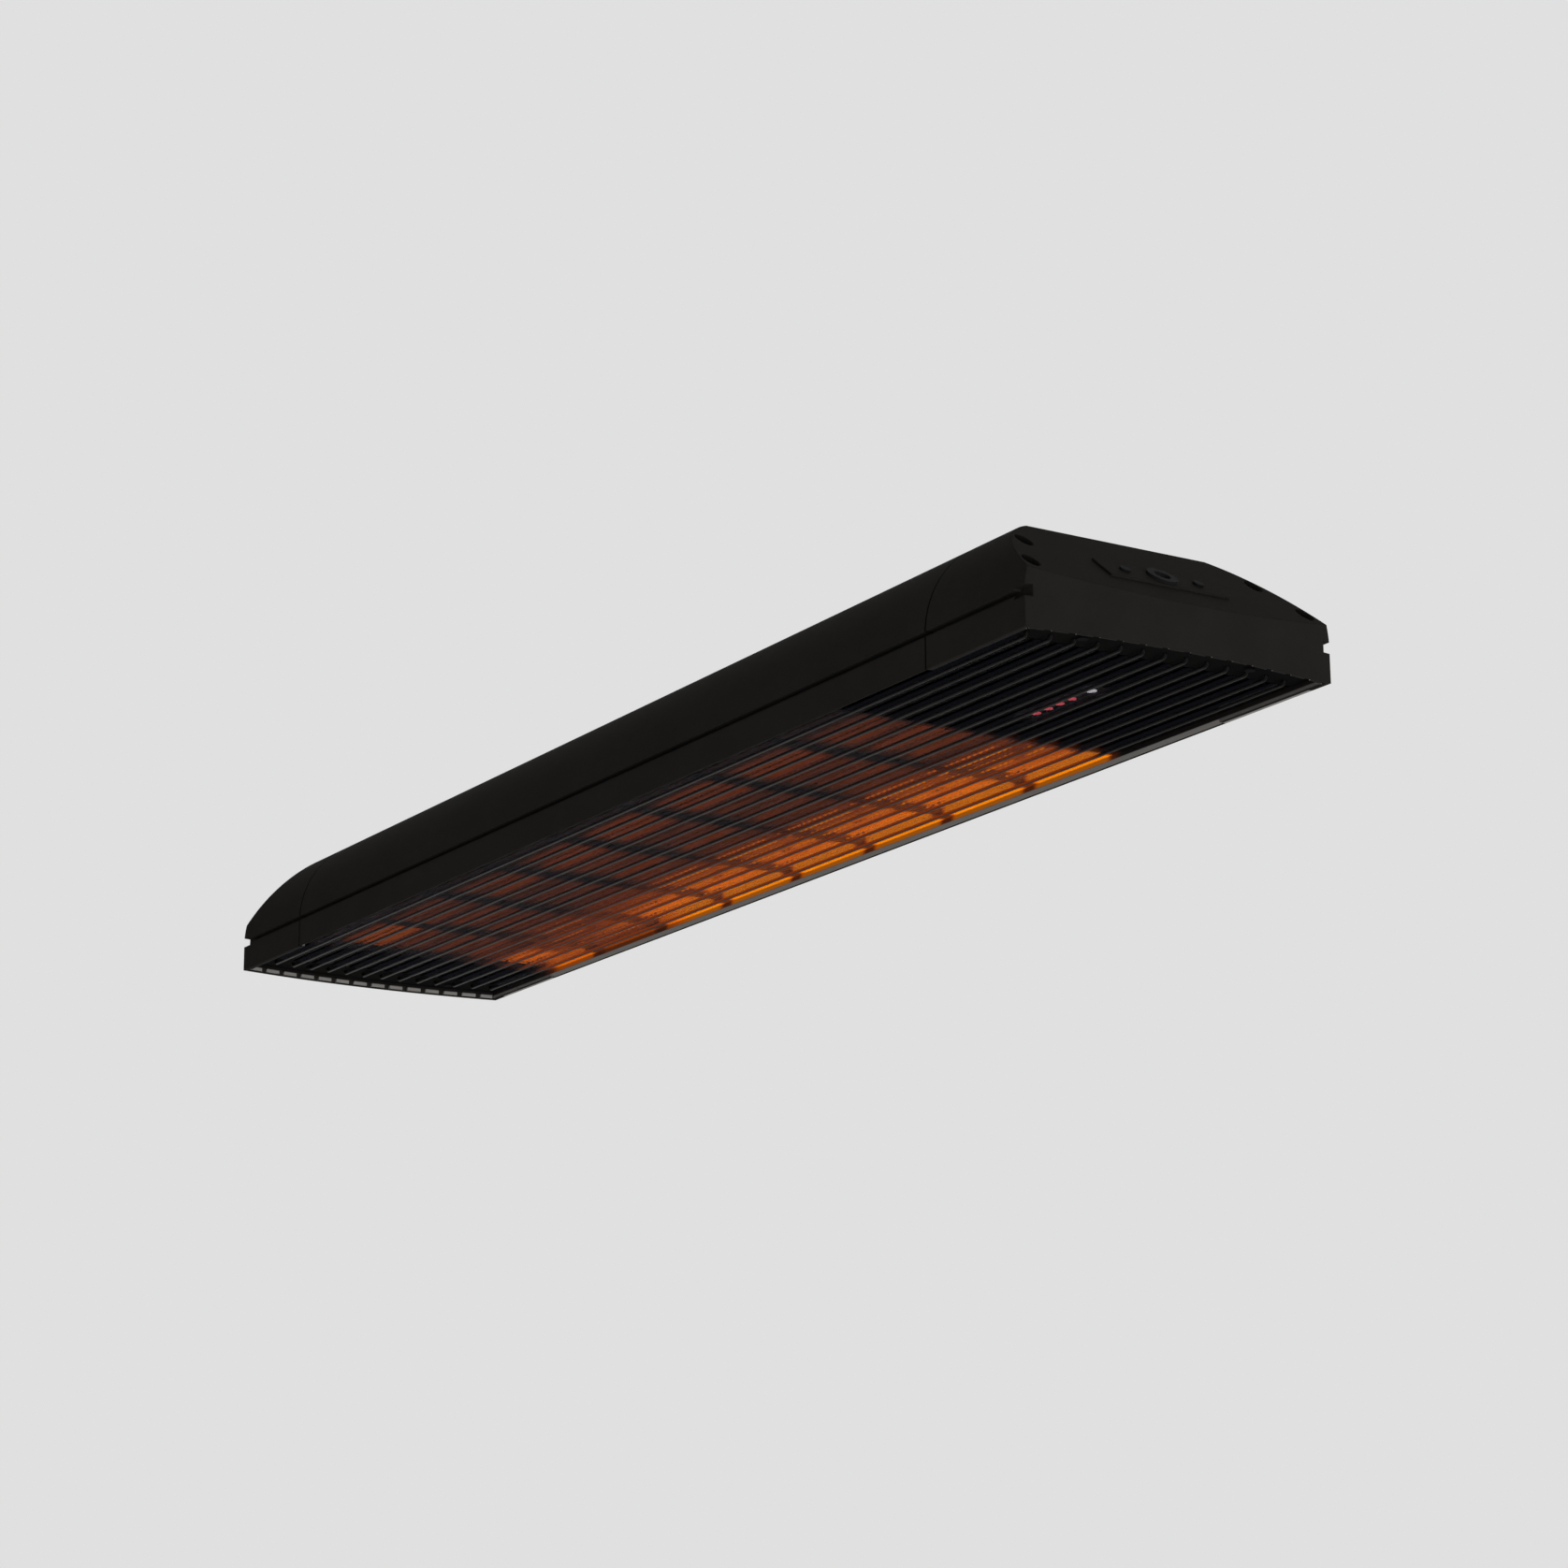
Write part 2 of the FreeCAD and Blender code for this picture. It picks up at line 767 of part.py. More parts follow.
def with_lead_holes(plate, low, high):
    """Cuts the holes for the two leads through a plate between two heights."""
    for y in lead_places():
        x = zone_high - bus_width / 2
        plate = plate.cut(rod_up(x, y, low - overrun, high + overrun, lead_radius + lead_hole_gap))
    return plate


def make_tray():
    start = tray_start()
    edge = inner_half - reflector_clear
    return block((start, -edge, lip_top), (start + tray_length, edge, lip_top + tray_sheet))


def board_corner():
    return tray_start() + (tray_length - board_length) / 2


def make_standoffs():
    low = lip_top + tray_sheet
    pillars = []
    for x in (board_corner() + standoff_inset, board_corner() + board_length - standoff_inset):
        for side in (-1, 1):
            y = side * (board_width / 2 - standoff_inset)
            pillars.append(rod_up(x, y, low, low + standoff_height, standoff_radius))
    return pillars


def make_board():
    return block(
        (board_corner(), -board_width / 2, board_top() - board_thickness),
        (board_corner() + board_length, board_width / 2, board_top()),
    )


def on_board(shares):
    """Footprint (x0, x1, y0, y1) on the control board, from shares of its length and width."""
    lengths = [board_corner() + board_length * share for share in shares[:2]]
    return lengths + [board_width * share for share in shares[2:]]


def board_block(shares, height):
    x0, x1, y0, y1 = on_board(shares)
    return block((x0, y0, board_top()), (x1, y1, board_top() + height))


def make_relays():
    return [board_block(shares, relay_height) for shares in relay_shares]


def make_heat_sink():
    """Finned block over the power switches, along one edge of the board."""
    x0, x1, y0, y1 = on_board(sink_shares)
    low = board_top()
    pieces = [board_block(sink_shares, sink_base)]
    middle = (y0 + y1 - sink_fin) / 2
    for step in spread(y1 - y0 - sink_fin, sink_fin_count):
        fin_y = middle + step
        pieces.append(block((x0, fin_y, low), (x1, fin_y + sink_fin, low + sink_height)))
    return joined(pieces)


def make_transformer():
    return board_block(transformer_shares, transformer_height)


def make_capacitor():
    x0, x1, y0, y1 = on_board(capacitor_shares)
    radius = min(x1 - x0, y1 - y0) / 2
    return rod_up((x0 + x1) / 2, (y0 + y1) / 2, board_top(), board_top() + capacitor_height, radius)


def tray_side():
    """Free strip of the tray beside the board, on the -Y side: centre of its width."""
    return -(board_width / 2 + port_inner) / 2


def make_terminal_block():
    x = board_corner()
    y = tray_side()
    low = lip_top + tray_sheet
    half = terminal_width / 2
    high = low + terminal_height
    terminal = block((x, y - half, low), (x + terminal_length, y + half, high))
    step = terminal_length / terminal_way_count
    for i in range(terminal_way_count):
        way_x = x + step * (i + 1 / 2)
        way = rod_up(way_x, y, high - terminal_way_depth, high + overrun, terminal_way_bore)
        terminal = terminal.cut(way)
    return terminal


def make_earth_stud():
    x = board_corner() + board_length - earth_nut_radius
    y = tray_side()
    low = lip_top + tray_sheet
    stud = rod_up(x, y, low, low + earth_height, earth_radius)
    nut = rod_up(x, y, low, low + earth_nut_height, earth_nut_radius)
    return joined([stud, nut])


def make_cable_clamp():
    """Saddle that grips the incoming cable, on the +Y edge of the tray."""
    x = board_corner() + board_length - clamp_length
    y = -tray_side()
    low = lip_top + tray_sheet
    saddle = block((x, y - clamp_width / 2, low), (x + clamp_length, y + clamp_width / 2, low + clamp_height))
    return saddle.cut(rod_along(x - overrun, x + clamp_length + overrun, y, low + clamp_height, gland_bore))


def light_places():
    return [light_start + light_pitch * i for i in range(light_count)]


def receiver_place():
    return light_places()[-1] + receiver_step


def light_board_low():
    return glass_back + light_glass_gap + light_pipe


def make_light_board():
    low = light_board_low()
    near, far = light_side - light_board_width / 2, light_side + light_board_width / 2
    start = light_start - light_board_margin
    end = receiver_place() + light_board_margin
    return block((start, near, low), (end, far, low + light_board_thickness))


def make_lights():
    low = glass_back + light_glass_gap
    return [rod_up(x, light_side, low, light_board_low(), light_radius) for x in light_places()]


def make_receiver():
    low = glass_back + light_glass_gap
    return rod_up(receiver_place(), light_side, low, light_board_low(), receiver_radius)


def make_light_posts():
    """Posts that hang the light board under the tray."""
    low = light_board_low() + light_board_thickness
    posts = []
    for x in (light_start - light_board_margin + light_post_inset, light_start + light_pitch * light_count):
        posts.append(rod_up(x, light_side, low, lip_top, light_post_radius))
    return posts


def make_cutout():
    """Thermal cut-out that sits on the back of the reflector, through the insulation."""
    x, y = cutout_place()
    low = reflector_back + reflector_sheet
    return rod_up(x, y, low, low + insulation_thickness + cutout_height, cutout_radius)


def make_inlet_cover():
    plate = Part.makeBox(
        inlet_cover_width, inlet_cover_length, inlet_cover_sheet,
        V(-inlet_cover_width / 2, -inlet_cover_length / 2, 0),
    )
    through = inlet_cover_sheet + 2 * overrun
    plate = plate.cut(Part.makeCylinder(gland_radius + seat_gap, through, V(0, 0, -overrun)))
    for side in (-1, 1):
        place = V(0, side * inlet_screw_spacing / 2, -overrun)
        plate = plate.cut(Part.makeCylinder(inlet_screw_radius + screw_gap, through, place))
    return on_slope(plate, inlet_drop_share)


def make_inlet_screws():
    screws = []
    for side in (-1, 1):
        y = side * inlet_screw_spacing / 2
        head = Part.makeCylinder(inlet_screw_head_radius, inlet_screw_head, V(0, y, inlet_cover_sheet))
        tip = V(0, y, inlet_cover_sheet - inlet_screw_length)
        shank = Part.makeCylinder(inlet_screw_radius, inlet_screw_length, tip)
        screws.append(on_slope(joined([head, shank]), inlet_drop_share))
    return screws


def make_gland():
    """Low collar through the inlet cover, bored for the supply cable."""
    flange = Part.makeCylinder(gland_flange_radius, gland_flange, V(0, 0, inlet_cover_sheet))
    tube = Part.makeCylinder(gland_radius, gland_length, V(0, 0, inlet_cover_sheet - gland_length))
    bore = Part.makeCylinder(gland_bore, gland_length + 2 * overrun, V(0, 0, -gland_length - overrun))
    return on_slope(joined([flange, tube]).cut(bore), inlet_drop_share)


def make_gland_nut():
    low = -housing_wall - gland_nut_height
    nut = Part.makeCylinder(gland_nut_radius, gland_nut_height, V(0, 0, low))
    bore = Part.makeCylinder(gland_radius + fit_gap, gland_nut_height + 2 * overrun, V(0, 0, low - overrun))
    return on_slope(nut.cut(bore), inlet_drop_share)


def ceiling_holes():
    return [(a * bolt_spacing_x / 2, b * bolt_spacing_y / 2) for a in (-1, 1) for b in (-1, 1)]


def tongue(x, thickness, half, radius, root):
    """Upright tongue across X with a round tip about the pivot, running to a root height."""
    pivot = V(x, 0, -pivot_drop)
    tip = Part.makeCylinder(radius, thickness, pivot, V(1, 0, 0))
    low, high = sorted((-pivot_drop, root))
    stem = Part.makeBox(thickness, 2 * half, high - low, V(x, -half, low))
    return joined([tip, stem])


def pivot_hole(shape, gap):
    start = V(-plate_length, 0, -pivot_drop)
    hole = Part.makeCylinder(pivot_radius + gap, 2 * plate_length, start, V(1, 0, 0))
    return shape.cut(hole)


def make_ceiling_plate():
    """Folded ceiling plate with two ears that carry the pivots."""
    corner = V(-plate_length / 2, -plate_width / 2, -plate_sheet)
    plate = Part.makeBox(plate_length, plate_width, plate_sheet, corner)
    pieces = [plate]
    for x in (-pivot_spacing / 2, pivot_spacing / 2 - plate_sheet):
        pieces.append(tongue(x, plate_sheet, ear_tip, ear_tip, -plate_sheet / 2))
    plate = pivot_hole(joined(pieces), fit_gap)
    for x, y in ceiling_holes():
        bottom = V(x, y, -plate_sheet - overrun)
        plate = plate.cut(Part.makeCylinder(bolt_hole_radius, plate_sheet + 2 * overrun, bottom))
    return plate


def foot_middle():
    return pivot_spacing / 2 + pivot_side_gap + foot_length / 2


def foot_screw_places():
    """Places (x, y) of the screws through the bracket feet into the top of the housing."""
    x = foot_middle() + lug_sheet / 2
    y = foot_screw_spacing / 2
    return [(a * x, b * y) for a in (-1, 1) for b in (-1, 1)]


def make_pivot_bracket():
    """Angle bracket of the +X side: a foot on the housing and a lug beside the ear."""
    start = pivot_spacing / 2 + pivot_side_gap
    foot = Part.makeBox(foot_length, foot_width, foot_sheet, V(start, -foot_width / 2, top))
    lug = tongue(start, lug_sheet, lug_radius, lug_radius, top + foot_sheet / 2)
    bracket = pivot_hole(joined([foot, lug]), fit_gap)
    for x, y in foot_screw_places():
        if x > 0:
            bottom = V(x, y, top - foot_sheet / 2)
            bracket = bracket.cut(Part.makeCylinder(foot_screw_radius + screw_gap, 2 * foot_sheet, bottom))
    return bracket


def along_pivot(start, length, radius):
    return Part.makeCylinder(radius, length, V(start, 0, -pivot_drop), V(1, 0, 0))


def pivot_stack():
    """X of the inner face of the ear and of the outer face of the lug, on the +X side."""
    return pivot_spacing / 2 - plate_sheet, pivot_spacing / 2 + pivot_side_gap + lug_sheet


def make_pivot_bolts():
    inner, outer = pivot_stack()
    shank_end = outer + pivot_side_gap + washer_sheet + pivot_nut_height
    head = along_pivot(inner - pivot_head, pivot_head, pivot_head_radius)
    shank = along_pivot(inner, shank_end - inner, pivot_radius)
    bolt = joined([head, shank])
    return [bolt, mirrored_x(bolt)]


def make_pivot_washers():
    start = pivot_stack()[1] + pivot_side_gap
    ring = along_pivot(start, washer_sheet, washer_radius)
    ring = ring.cut(along_pivot(start - overrun, washer_sheet + 2 * overrun, pivot_radius + fit_gap))
    return [ring, mirrored_x(ring)]


def make_pivot_nuts():
    """Six-sided nuts on the free ends of the pivot bolts."""
    start = pivot_stack()[1] + pivot_side_gap + washer_sheet
    corners = []
    for i in range(nut_sides + 1):
        angle = 2 * math.pi * i / nut_sides
        y = pivot_head_radius * math.cos(angle)
        z = pivot_head_radius * math.sin(angle)
        corners.append(V(start, y, z - pivot_drop))
    nut = Part.Face(Part.makePolygon(corners)).extrude(V(pivot_nut_height, 0, 0))
    nut = nut.cut(along_pivot(start - overrun, pivot_nut_height + 2 * overrun, pivot_radius + fit_gap))
    return [nut, mirrored_x(nut)]


def make_foot_screws():
    screws = []
    seat = top + foot_sheet
    for x, y in foot_screw_places():
        head = Part.makeCylinder(foot_screw_head_radius, foot_screw_head, V(x, y, seat))
        shank = Part.makeCylinder(foot_screw_radius, foot_screw_length, V(x, y, seat - foot_screw_length))
        screws.append(joined([head, shank]))
    return screws


def main():
    os.makedirs("parts", exist_ok=True)
    save("ceiling_plate", make_ceiling_plate())
    bracket = make_pivot_bracket()
    save("pivot_bracket_right", bracket)
    save("pivot_bracket_left", mirrored_x(bracket))
    save("pivot_bolts", make_pivot_bolts())
    save("pivot_washers", make_pivot_washers())
    save("pivot_nuts", make_pivot_nuts())
    save("bracket_screws", make_foot_screws())
    save("upper_housing", make_housing())
    rail = make_rail()
    save("side_rail_right", rail)
    save("side_rail_left", mirrored_y(rail))
    save("rail_screws", make_rail_screws())
    save("end_cap_right", make_cap(True))
    save("end_cap_left", mirrored_x(make_cap(False)))
    save("end_cap_screws", make_cap_screws())
    trim = make_side_trim()
    save("side_trim_right", trim)
    save("side_trim_left", mirrored_y(trim))
    end_trim = make_end_trim()
    save("end_trim_right", end_trim)
    save("end_trim_left", mirrored_x(end_trim))
    comb = make_comb()
    save("guard_comb_right", comb)
    save("guard_comb_left", mirrored_x(comb))
    save("comb_screws", make_comb_screws())
    save("guard_rods", make_rods())
    save("front_glass", make_glass())
    save("glass_gasket", make_gasket())
    save("reflector", make_reflector())
    save("insulation_board", make_insulation())
    save("ribbon_bank_left", make_bank(-1))
    save("ribbon_bank_right", make_bank(1))
    save("ribbon_holders", make_holders())
    save("bus_bars", make_bus_bars())
    save("bus_insulators", make_insulators())
    save("heat_bulkhead", make_bulkhead())
    save("inner_leads", make_leads())
    save("chassis_tray", make_tray())
    save("board_standoffs", make_standoffs())
    save("control_board", make_board())
    save("power_relays", make_relays())
    save("heat_sink", make_heat_sink())
    save("supply_transformer", make_transformer())
    save("filter_capacitor", make_capacitor())
    save("terminal_block", make_terminal_block())
    save("earth_stud", make_earth_stud())
    save("cable_clamp", make_cable_clamp())
    save("light_board", make_light_board())
    save("power_lights", make_lights())
    save("receiver_window", make_receiver())
    save("light_posts", make_light_posts())
    save("thermal_cutout", make_cutout())
    save("inlet_cover", make_inlet_cover())
    save("inlet_screws", make_inlet_screws())
    save("cable_gland", make_gland())
    save("gland_nut", make_gland_nut())


main()
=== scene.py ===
import math

import bpy
import numpy as np
from mathutils import Matrix, Vector


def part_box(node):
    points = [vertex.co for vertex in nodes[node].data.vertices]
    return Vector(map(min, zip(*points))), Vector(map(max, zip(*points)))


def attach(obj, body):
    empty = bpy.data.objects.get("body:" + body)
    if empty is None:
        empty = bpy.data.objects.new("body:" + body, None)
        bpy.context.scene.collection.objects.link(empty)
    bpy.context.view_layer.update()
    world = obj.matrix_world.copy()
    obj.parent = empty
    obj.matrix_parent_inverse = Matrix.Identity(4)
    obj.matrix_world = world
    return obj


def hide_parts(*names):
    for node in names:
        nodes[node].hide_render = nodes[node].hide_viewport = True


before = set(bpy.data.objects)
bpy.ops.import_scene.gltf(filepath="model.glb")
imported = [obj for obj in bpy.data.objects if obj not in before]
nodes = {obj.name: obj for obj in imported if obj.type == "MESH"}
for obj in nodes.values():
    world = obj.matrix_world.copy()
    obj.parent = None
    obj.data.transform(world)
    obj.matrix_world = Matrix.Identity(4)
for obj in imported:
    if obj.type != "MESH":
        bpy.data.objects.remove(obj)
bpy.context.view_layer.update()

scene = bpy.context.scene
scene.view_settings.view_transform = "Standard"


# Sizes and places, in metres. +x runs to the cable inlet, the near end, and the hot far half is
# at +y.

camera_place = Vector((1.9211, -1.1646, -0.6614))
camera_pitch = math.radians(15.114)
camera_yaw = math.radians(32.293)
camera_roll = math.radians(-0.395)
picture_side = 1676
focal_pixels = 4220.15
sensor_width = 36.0
nearest, farthest = 0.05, 100.0

background_grey = 0.745
fill_grey = 0.11
sky_grey = 2.7
sky_middle = Vector((-0.74, 0.50, 0.45)).normalized()
sky_inner = math.radians(25.0)
sky_outer = math.radians(55.0)
key_place = Vector((3.0, -0.3, -0.9))
key_aim = Vector((0.3, 0.0, -0.06))
key_width, key_height = 1.6, 1.2
key_power = 4.6
key_spread = math.radians(70.0)

floor_height = -1.7
floor_half = 14.0
flag_middle = (-5.5, 3.2)
flag_half = (3.6, 1.9)
flag_height = floor_height + 0.1

seam_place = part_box("upper_housing")[1].x
rim_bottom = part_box("end_cap_right")[0].z
rim_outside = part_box("end_cap_right")[1].y
rim_width = 0.0024
rim_end = 0.432
rim_edge = 0.0008
seam_half = (0.0003, 0.0009)
trim_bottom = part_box("end_trim_right")[0].z
trim_border = 0.0004

light_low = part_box("power_lights")[0]
light_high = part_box("receiver_window")[1]
light_face = (light_low.z + 0.0001, light_low.z + 0.0004)
window_inner, window_outer = 0.006, 0.010
window_far_inner, window_far_outer = 0.002, 0.004

bar_width = 0.009
bar_gaps = 6
bar_low, bar_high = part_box("ribbon_holders")
bar_step = (bar_high.x - bar_low.x - bar_width) / bar_gaps
first_bar = bar_low.x + bar_width / 2

# Where the glow changes, and the painted glow and painted shade beside it, as ranges of x, y or
# the distance from a bar over which it eases.
print_left, print_right = (-0.376, -0.370), (0.264, 0.270)
# where the rods' painted glow, a painted reflection of the hot half, begins and ends
rod_glow_left, rod_glow_right = (-0.37, -0.34), (0.262, 0.275)
rod_glow_across = (0.0, 0.065)
# where the painted highlight on the rods weakens towards the near end
rod_highlight_fading = (0.20, 0.33)
# where the painted glow beside the hot half begins, ends and fades
side_glow_left, side_glow_right = (-0.375, -0.345), (0.268, 0.278)
side_glow_across = (0.06, 0.08)
side_glow_fading, side_glow_returning = (-0.23, -0.165), (-0.30, -0.28)
# where the holder bars' painted glow rises across the hot half
bar_glow_across = (0.015, 0.055)
hot_across = (-0.003, 0.086)
hot_lean_left, hot_lean_right = (-0.315, -0.165), (0.15, 0.27)
cold_edge_across = (-0.068, -0.058)
near_edge_left, near_edge_right = (-0.125, -0.100), (0.17, 0.24)
near_edge_across = (-0.045, -0.025)
far_corner_along, far_corner_across = (-0.335, -0.295), (0.04, 0.06)
near_corner_along, near_corner_across = (-0.290, -0.275), (-0.035, -0.01)
# painted shade of the holder bars: distances from a bar over which the glow is dimmed
hot_bar_shade, dim_bar_shade, side_bar_shade = (0.0045, 0.013), (0.0045, 0.020), (0.003, 0.010)

ribbon_count = 10
ribbon_width = 0.006
ribbon_sheet = 0.0003
pleat_length = 0.0056
pleat_depth = 0.0007
steps_per_pleat = 8


# Colours, and the glow's colours by its level.

def grey(value, warm=0.0):
    """A grey, with a share more red and less blue."""
    return (value * (1 + warm), value, value * (1 - warm))


def scaled(colour, share):
    return tuple(share * part for part in colour)


unlit = grey(0.0)
seam_black = grey(0.004)
# light grey of the painted highlight under the far rims of the end caps
rim_painted_highlight = grey(0.30, 0.06)
# near-black painted shade on the trims' down-facing faces and upper band
trim_painted_shade = grey(0.005)
print_black = (0.002, 0.002, 0.0024)
# colour of the painted glow on the rods, a painted reflection of the hot ribbons
rod_reflected_glow = (0.16, 0.022, 0.001)
# colour of the painted glow on the holder bars
bar_glow_colour = (0.26, 0.055, 0.004)
glow_strength = 9.6
dim_limit = 0.41
glow_stops = (
    (0.0, (0.003, 0.0015, 0.0008)),
    (0.16, (0.0446, 0.0124, 0.0050)),
    (0.45, (0.162, 0.0270, 0.0026)),
    (0.78, (0.90, 0.168, 0.002)),
    (1.0, (1.0, 0.265, 0.003)),
)


# Node trees.

upright = (0.0, 0.0, 1.0)
noise_low, noise_high = 0.3, 0.7
metal_low, metal_high = 0.32, 0.68


class Nodes:
    """A node tree, with short calls for its nodes and links."""

    def __init__(self, tree):
        self.tree = tree
        tree.nodes.clear()

    def feed(self, socket, value):
        """Links a socket to another, or sets it to a number, a vector or a colour."""
        if isinstance(value, bpy.types.NodeSocket):
            self.tree.links.new(value, socket)
        elif socket.type == "RGBA":
            socket.default_value = (*value, 1)
        else:
            socket.default_value = value

    def new(self, kind, **inputs):
        """A node whose named inputs are fed."""
        node = self.tree.nodes.new("ShaderNode" + kind)
        for name, value in inputs.items():
            self.feed(node.inputs[name.replace("_", " ")], value)
        return node

    def math(self, operation, *values):
        node = self.new("Math")
        node.operation = operation
        for socket, value in zip(node.inputs, values):
            self.feed(socket, value)
        return node.outputs[0]

    def chain(self, operation, first, *others):
        """One operation from value to value, as a product or a maximum of them all."""
        for other in others:
            first = self.math(operation, first, other)
        return first

    def product(self, *values):
        return self.chain("MULTIPLY", *values)

    def largest(self, *values):
        return self.chain("MAXIMUM", *values)

    def dot(self, vector, direction):
        node = self.new("VectorMath")
        node.operation = "DOT_PRODUCT"
        self.feed(node.inputs[0], vector)
        self.feed(node.inputs[1], direction)
        return node.outputs["Value"]

    def span(self, value, low, high, start=0.0, end=1.0):
        """Carries a value from the range start..end to low..high."""
        node = self.new("MapRange", Value=value, From_Min=start, From_Max=end,
                        To_Min=low, To_Max=high)
        return node.outputs[0]

    def smooth(self, value, low, high, start, end):
        """As span, but easing in and out."""
        out = self.span(value, low, high, start, end)
        out.node.interpolation_type = "SMOOTHSTEP"
        return out

    def within(self, value, rise, fall):
        """1 between two places of a value: it eases up over one range and down over another."""
        return self.product(self.smooth(value, 0.0, 1.0, *rise),
                            self.smooth(value, 1.0, 0.0, *fall))


class Finish(Nodes):
    """One material, with patterns by Object coordinates."""

    def __init__(self, name):
        self.material = bpy.data.materials.new(name)
        self.material.use_nodes = True
        super().__init__(self.material.node_tree)
        self.shader = self.new("BsdfPrincipled")
        self.new("OutputMaterial", Surface=self.shader.outputs[0])
        coordinates = self.new("TexCoord")
        self.place = coordinates.outputs["Object"]
        self.normal = coordinates.outputs["Normal"]

    def set(self, **values):
        """Feeds the shader with patterns, or with what is the same all over the surface."""
        for name, value in values.items():
            self.feed(self.shader.inputs[name.replace("_", " ")], value)

    def split(self):
        return self.new("SeparateXYZ", Vector=self.place).outputs

    def noise(self, scale, detail=3.0, roughness=0.55, vector=None):
        node = self.new("TexNoise", Scale=scale, Detail=detail, Roughness=roughness,
                        Vector=vector or self.place)
        return node.outputs["Fac"]

    def stretched_noise(self, scale, detail, stretch):
        """Noise that is finer or coarser along each axis, by a scale for each."""
        mapped = self.new("Mapping", Scale=stretch, Vector=self.place).outputs[0]
        return self.noise(scale, detail, 0.6, mapped)

    def cells(self, scale):
        return self.new("TexVoronoi", Scale=scale, Vector=self.place).outputs

    def ramp(self, value, *stops):
        """Colours at places along a value from 0 to 1."""
        node = self.new("ValToRGB", Fac=value)
        band = node.color_ramp
        while len(band.elements) < len(stops):
            band.elements.new(1.0)
        for element, (at, colour) in zip(band.elements, stops):
            element.position = at
            element.color = (*colour, 1)
        return node.outputs["Color"]

    def tones(self, noise, dark, light):
        """Two colours over the usual range of a noise."""
        return self.ramp(noise, (noise_low, dark), (noise_high, light))

    def over(self, noise, low, high):
        """Two numbers over the usual range of a noise."""
        return self.span(noise, low, high, noise_low, noise_high)

    def mix(self, share, first, second):
        """Colour between two, by a share."""
        node = self.new("Mix")
        node.data_type = "RGBA"
        for index, value in ((0, share), (6, first), (7, second)):
            self.feed(node.inputs[index], value)
        return node.outputs[2]

    def bump(self, height, distance, strength, edge=0.0):
        """Height as bump, over edges that are softened by a radius."""
        node = self.new("Bump", Distance=distance, Strength=strength, Height=height)
        if edge:
            soft = self.new("Bevel", Radius=edge)
            soft.samples = 4
            self.feed(node.inputs["Normal"], soft.outputs[0])
        self.set(Normal=node.outputs[0])

    def drawn_lines(self, stretch):
        """Fine lines along a metal piece, in bump and as a pattern."""
        lines = self.stretched_noise(60.0, 4.0, stretch)
        self.bump(lines, 0.00002, 0.6)
        return lines

    def tarnish(self, lines):
        """Drawn lines with clouds across them."""
        return self.math("ADD", self.product(lines, 0.6), self.product(self.noise(18.0, 4.0), 0.4))

    def metal_tones(self, pattern, dark, light):
        return self.ramp(pattern, (metal_low, dark), (metal_high, light))


# Finishes. Each function dresses the material f.

along_piece = (2.0, 60.0, 60.0)
all_ways = (40.0, 40.0, 40.0)


def seams_and_rims(f, paint):
    """Paint with a dark line at the seams of the end caps, where |x| is the seam's, and with a
    light grey painted highlight under the rim of their far sides, where the outside of y faces
    down."""
    x, y, z = f.split()
    along = f.math("ABSOLUTE", x)
    from_seam = f.math("ABSOLUTE", f.math("SUBTRACT", along, seam_place))
    seam = f.smooth(from_seam, 1.0, 0.0, *seam_half)
    # painted highlight: light grey under the far rims, on faces that point down
    rim = f.product(
        f.within(along, (seam_place, seam_place + 0.0005), (rim_end, rim_end + 0.001)),
        f.smooth(z, 1.0, 0.0, rim_bottom + rim_edge - 0.0002, rim_bottom + rim_edge + 0.0002),
        f.math("GREATER_THAN", y, rim_outside - rim_width),
        f.smooth(f.dot(f.normal, upright), 1.0, 0.0, -0.5, -0.3))
    return f.mix(rim, f.mix(seam, paint, seam_black), rim_painted_highlight)


def powder_coat(f, dark, light, gloss, specular, grain=1100.0, seams_and_highlight=None):
    """Sprayed paint: a fine orange-peel bump, slow cloudy changes of tone and a scatter of
    matt specks."""
    cloud = f.noise(26.0, 5.0)
    speck = f.noise(grain, 2.0)
    paint = f.tones(cloud, dark, light)
    matt = f.math("ADD", cloud, f.product(speck, 0.6))
    f.bump(speck, 0.00006, 0.7, edge=0.0012)
    # the body paint takes dark seam lines and a painted highlight under its far rims here
    f.set(Base_Color=seams_and_highlight(f, paint) if seams_and_highlight else paint,
          Roughness=f.span(matt, gloss - 0.06, gloss + 0.1, 0.5, 1.2),
          Specular_IOR_Level=specular)


def rolled_metal(f, dark, light, rough, stretch=along_piece):
    """Metal with fine drawn lines along its length and cloudy tarnish across them."""
    both = f.tarnish(f.drawn_lines(stretch))
    f.set(Base_Color=f.metal_tones(both, dark, light), Roughness=f.over(both, *rough), Metallic=1.0)


def folded_trim(f, dark, light, bright_height):
    """Bare metal strip with drawn lines on its faces. It is painted dark as painted shade on its
    faces that point down and in a band above a height, and that band has a faint painted glow."""
    both = f.tarnish(f.drawn_lines(along_piece))
    z = f.split()[2]
    border = (bright_height - trim_border, bright_height + trim_border)
    # bare metal shows below the band on faces not pointing down; elsewhere painted shade
    bare = f.product(f.smooth(f.dot(f.normal, upright), 0.0, 1.0, -0.99, -0.95),
                     f.smooth(z, 1.0, 0.0, *border))
    # faint painted glow on the upper band, a painted reflection of the hot half
    painted_glow_beside(f, 0.03, f.smooth(z, 0.0, 1.0, *border))
    f.set(Base_Color=f.mix(bare, trim_painted_shade, f.metal_tones(both, dark, light)),
          Roughness=f.over(both, 0.5, 0.65), Metallic=f.product(bare, 0.3),
          Specular_IOR_Level=0.1)


